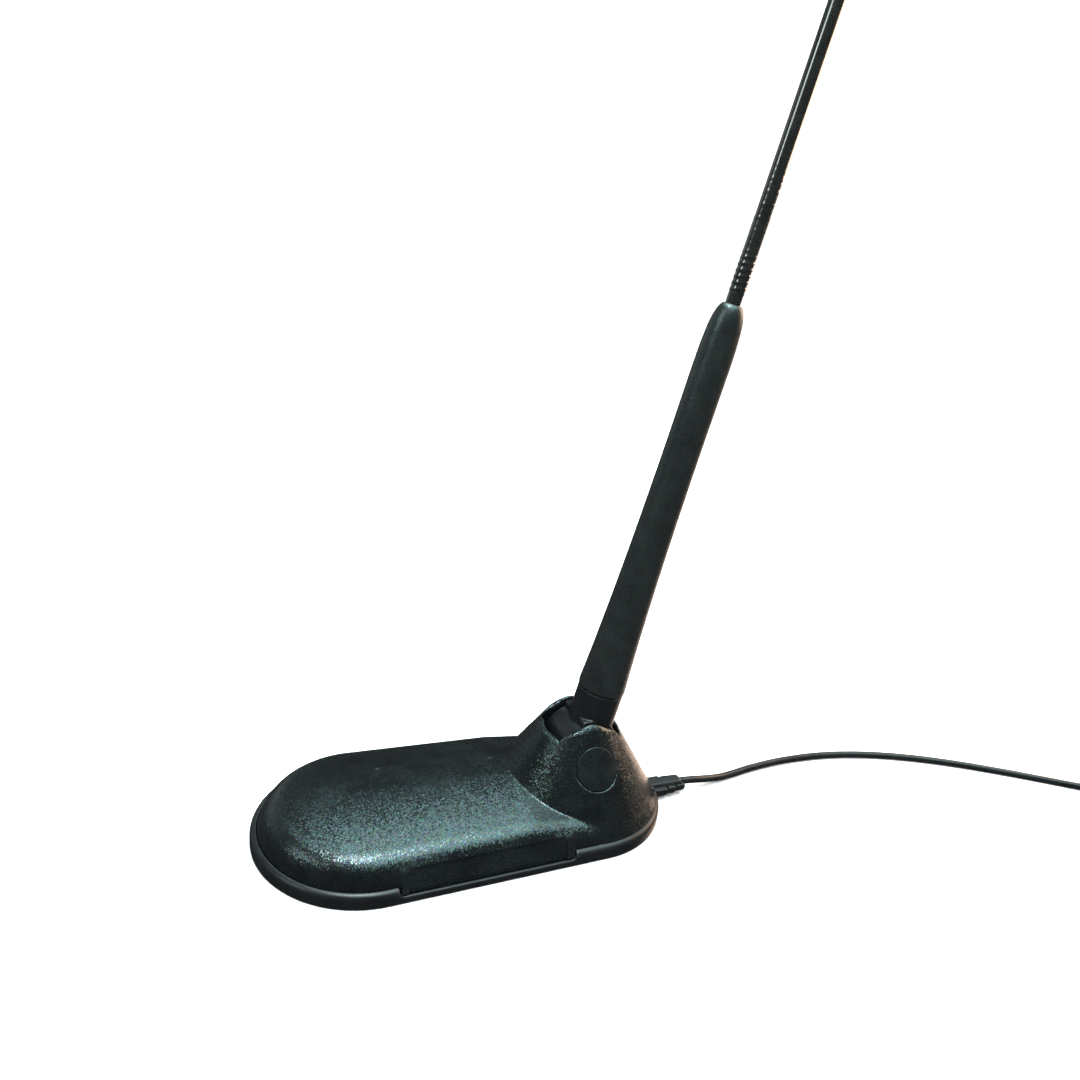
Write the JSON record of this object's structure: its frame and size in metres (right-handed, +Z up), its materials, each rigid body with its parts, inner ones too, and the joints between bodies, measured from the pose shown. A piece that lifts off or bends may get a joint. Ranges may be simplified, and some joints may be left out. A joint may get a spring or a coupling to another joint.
{
  "type": "magnetic mount whip antenna",
  "caption": "Omnidirectional whip antenna on a long magnetic base, with a tilting knuckle, a screw-on mast and a thin coaxial lead with a plug.",
  "frame": {"origin": "centre of the rest face under the magnetic base, midway between nose and tail", "axes": "+X towards the tail, where the lead leaves; +Z up from the surface that the base grips; +Y completes the frame"},
  "size_m": [0.3595, 0.1425, 0.4193],
  "materials": {
    "housing_plastic": "fine spark-eroded grain",
    "tray_plastic": "satin moulded",
    "knuckle_plastic": "satin moulded",
    "cap_plastic": "very fine grain",
    "sleeve_rubber": "satin, fine grain",
    "boot_rubber": "matte",
    "pad_rubber": "matte, fine texture",
    "sheath_plastic": "glossy heat-shrink",
    "cable_jacket": "semi-gloss extruded jacket",
    "zinc_steel": "zinc plated",
    "ferrite": "dark sintered ceramic",
    "brass": "turned",
    "copper": "enamelled wire",
    "board": "solder mask",
    "ceramic": "matte",
    "white_nylon": "matte",
    "fibreglass": "smooth",
    "plug_metal": "gold flashed brass",
    "gold_pin": "gold plated",
    "ptfe": "smooth"
  },
  "bodies": {
    "base": {"foot_pad": "pad_rubber", "base_tray": "tray_plastic", "tray_screws": "zinc_steel", "housing_gasket": "pad_rubber", "front_magnet": "ferrite", "rear_magnet": "ferrite", "yoke_plate": "zinc_steel", "upper_housing": "housing_plastic", "circuit_board": "board", "board_screws": "zinc_steel", "matching_coil": "copper", "capacitors": "ceramic", "feed_strap": "brass", "contact_pin": "brass", "inner_cable": "cable_jacket", "cable_clamp": "white_nylon", "strain_relief": "boot_rubber", "hinge_bolt": "zinc_steel", "hinge_nut": "zinc_steel", "hinge_washers": "zinc_steel", "friction_washers": "white_nylon", "hinge_cap_left": "cap_plastic", "hinge_cap_right": "cap_plastic", "cable_lead": "cable_jacket", "cable_coil": "cable_jacket", "cable_tail": "cable_jacket", "cable_tie": "white_nylon", "plug_sleeve": "boot_rubber", "plug_body": "plug_metal", "plug_insulator": "ptfe", "plug_pin": "gold_pin"},
    "knuckle": {"hinge_knuckle": "knuckle_plastic", "contact_strip": "brass", "link_wire": "copper", "mast_stud": "brass"},
    "seal": {"mast_seal": "pad_rubber"},
    "whip": {"mast_insert": "brass", "mast_sleeve": "sleeve_rubber", "coil_core": "fibreglass", "loading_coil": "copper", "coil_coupler": "brass", "whip_rod": "fibreglass", "whip_winding": "copper", "whip_sheath": "sheath_plastic", "tip_cap": "boot_rubber"},
    "coupling_nut": {"plug_nut": "plug_metal"}
  },
  "joints": [
    {"name": "mast_tilt", "type": "hinge", "parent": "base", "child": "knuckle", "pos_m": [0.0403, 0, 0.0258], "axis": [0, 1, 0], "range_deg": [-41, 3]},
    {"name": "mast_rise", "type": "slide", "parent": "knuckle", "child": "seal", "axis": [0.1874, 0, 0.9823], "range_m": [0, 0.006]},
    {"name": "mast_unscrew", "type": "hinge", "parent": "seal", "child": "whip", "pos_m": [0.04246, 0, 0.02539], "axis": [0.1874, 0, 0.9823], "range_deg": [0, 2166]},
    {"name": "coupling_nut_spin", "type": "hinge", "parent": "base", "child": "coupling_nut", "pos_m": [0.25873, -0.06263, 0.01685], "axis": [0.5736, 0.8192, 0], "continuous": true}
  ],
  "couplings": [
    {"joint": "mast_unscrew", "follows": "mast_rise", "rad_per_m": 6283.2}
  ]
}
